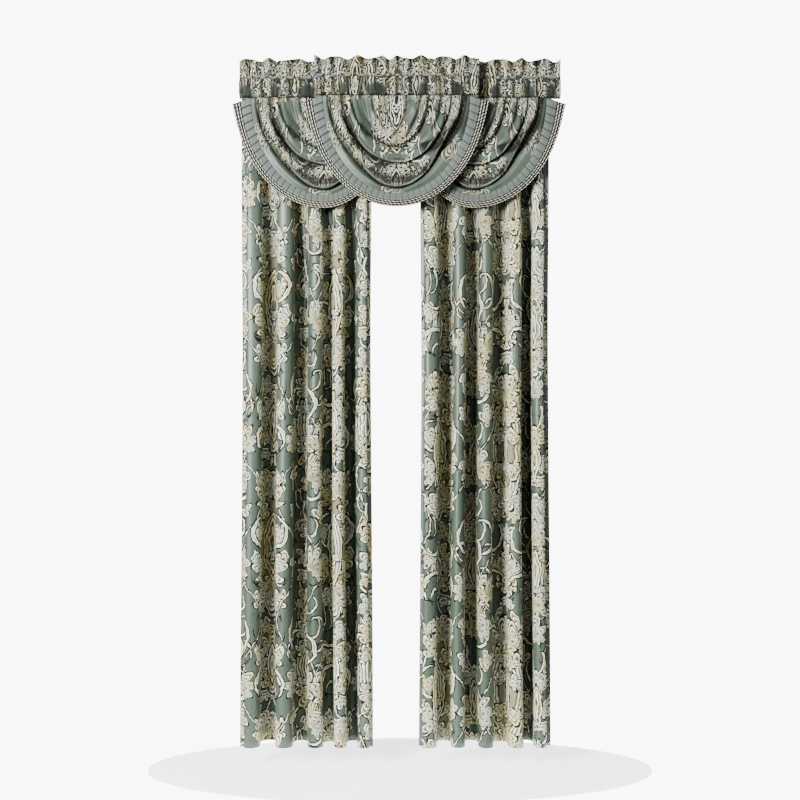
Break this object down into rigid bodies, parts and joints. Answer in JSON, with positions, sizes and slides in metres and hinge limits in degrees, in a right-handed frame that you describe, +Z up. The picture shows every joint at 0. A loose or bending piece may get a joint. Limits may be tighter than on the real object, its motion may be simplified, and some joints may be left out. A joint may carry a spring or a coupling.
{
  "type": "curtain panels with waterfall valances",
  "caption": "Long room-darkening jacquard curtain panels behind overlapping waterfall valances edged with pleated satin and corded braid, all gathered on rod pockets.",
  "frame": {"origin": "on the top edge of the gathered headings, at the middle of the whole width, over the middle one of the three rod lines", "axes": "+Z is up, -Y points into the room towards the viewer, +X is to the viewer's right along the rods"},
  "size_m": [1.0345, 0.1576, 2.134],
  "materials": {
    "damask": "satin jacquard, sage green ground with ivory and beige scrolls outlined in black",
    "satin_band": "plain silver-sage satin, knife pleated",
    "corded_braid": "cream and black cords side by side"
  },
  "bodies": {
    "root": {"panel_left": "damask", "panel_left_heading": "damask", "panel_right": "damask", "panel_right_heading": "damask", "valance_left": "damask", "valance_left_heading": "damask", "valance_left_band": "satin_band", "valance_left_braid": "corded_braid", "valance_middle": "damask", "valance_middle_heading": "damask", "valance_middle_band": "satin_band", "valance_middle_braid": "corded_braid", "valance_right": "damask", "valance_right_heading": "damask", "valance_right_band": "satin_band", "valance_right_braid": "corded_braid"}
  },
  "joints": []
}
